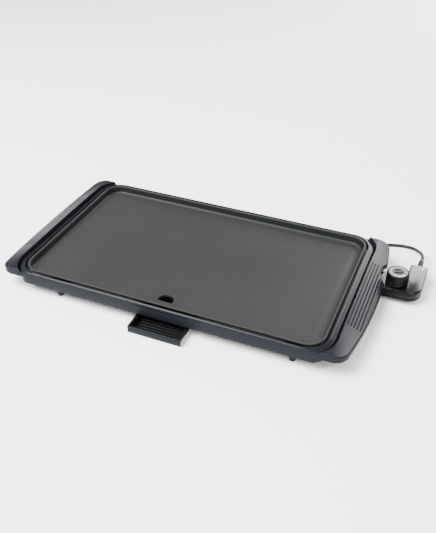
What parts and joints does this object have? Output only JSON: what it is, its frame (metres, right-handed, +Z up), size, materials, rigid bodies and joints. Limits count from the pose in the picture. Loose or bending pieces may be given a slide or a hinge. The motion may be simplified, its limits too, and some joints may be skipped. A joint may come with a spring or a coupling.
{
  "type": "electric griddle",
  "caption": "Rectangular electric griddle with a drained non-stick plate, side handles, a slide-out drip tray and a plug-in dial control on a short cord.",
  "frame": {"origin": "on the surface that the feet stand on, under the middle of the whole griddle with its tray and control in place", "axes": "+X to the control side, along the plate's length; -Y to the drip tray at the front; +Z up out of the cooking surface"},
  "size_m": [0.6536, 0.3911, 0.0473],
  "materials": {
    "non_stick": "fine speckled matte non-stick coating on cast aluminium",
    "phenolic": "satin bluish black moulded resin",
    "black_plastic": "gloss black moulding",
    "rubber": "matte black",
    "steel": "plain bright steel",
    "brass": "plain brass",
    "ceramic": "matte off-white insulator",
    "dial_print": "printed silver and grey dial face",
    "lens": "clear pinkish white lens",
    "cord": "smooth black flex"
  },
  "bodies": {
    "base": {"base_frame": "phenolic", "foot_back_left": "rubber", "foot_back_right": "rubber", "foot_front_left": "rubber", "foot_front_right": "rubber", "griddle_plate": "non_stick", "guard_screw_back": "steel", "guard_screw_front": "steel", "heating_element": "steel", "plate_screw_back_left": "steel", "plate_screw_back_right": "steel", "plate_screw_front_left": "steel", "plate_screw_front_right": "steel", "plate_spacer_back_left": "ceramic", "plate_spacer_back_right": "ceramic", "plate_spacer_front_left": "ceramic", "plate_spacer_front_right": "ceramic", "support_screw_left": "steel", "support_screw_right": "steel", "terminal_guard": "steel", "terminal_insulator_back": "ceramic", "terminal_insulator_front": "ceramic", "terminal_pin_back": "steel", "terminal_pin_front": "steel", "tray_support": "black_plastic"},
    "tray": {"drip_tray": "black_plastic"},
    "control": {"bimetal_strip": "brass", "contact_arm": "brass", "control_lower_housing": "black_plastic", "control_screw_arm": "steel", "control_screw_left": "steel", "control_screw_right": "steel", "control_upper_housing": "black_plastic", "cord_hank": "cord", "cord_tail": "cord", "cord_tie": "rubber", "indicator_lens": "lens", "neon_lamp": "lens", "plug_blade_back": "brass", "plug_blade_front": "brass", "plug_body": "rubber", "power_cord": "cord", "sensor_probe": "steel", "strain_relief": "rubber", "terminal_block": "ceramic", "terminal_sleeve_back": "brass", "terminal_sleeve_front": "brass", "thermostat_bracket": "steel"},
    "dial": {"dial_knob": "black_plastic", "dial_plate": "dial_print", "dial_shaft": "steel"}
  },
  "joints": [
    {"name": "drip_tray_slide", "type": "slide", "parent": "base", "child": "tray", "axis": [0, -1, 0], "range_m": [-0.025, 0.065]},
    {"name": "control_unplug", "type": "slide", "parent": "base", "child": "control", "axis": [1, 0, 0], "range_m": [0, 0.1]},
    {"name": "dial_turn", "type": "hinge", "parent": "control", "child": "dial", "pos_m": [0.28605, 0.078, 0.0265], "axis": [0, 0, 1], "range_deg": [-280, 0]}
  ]
}
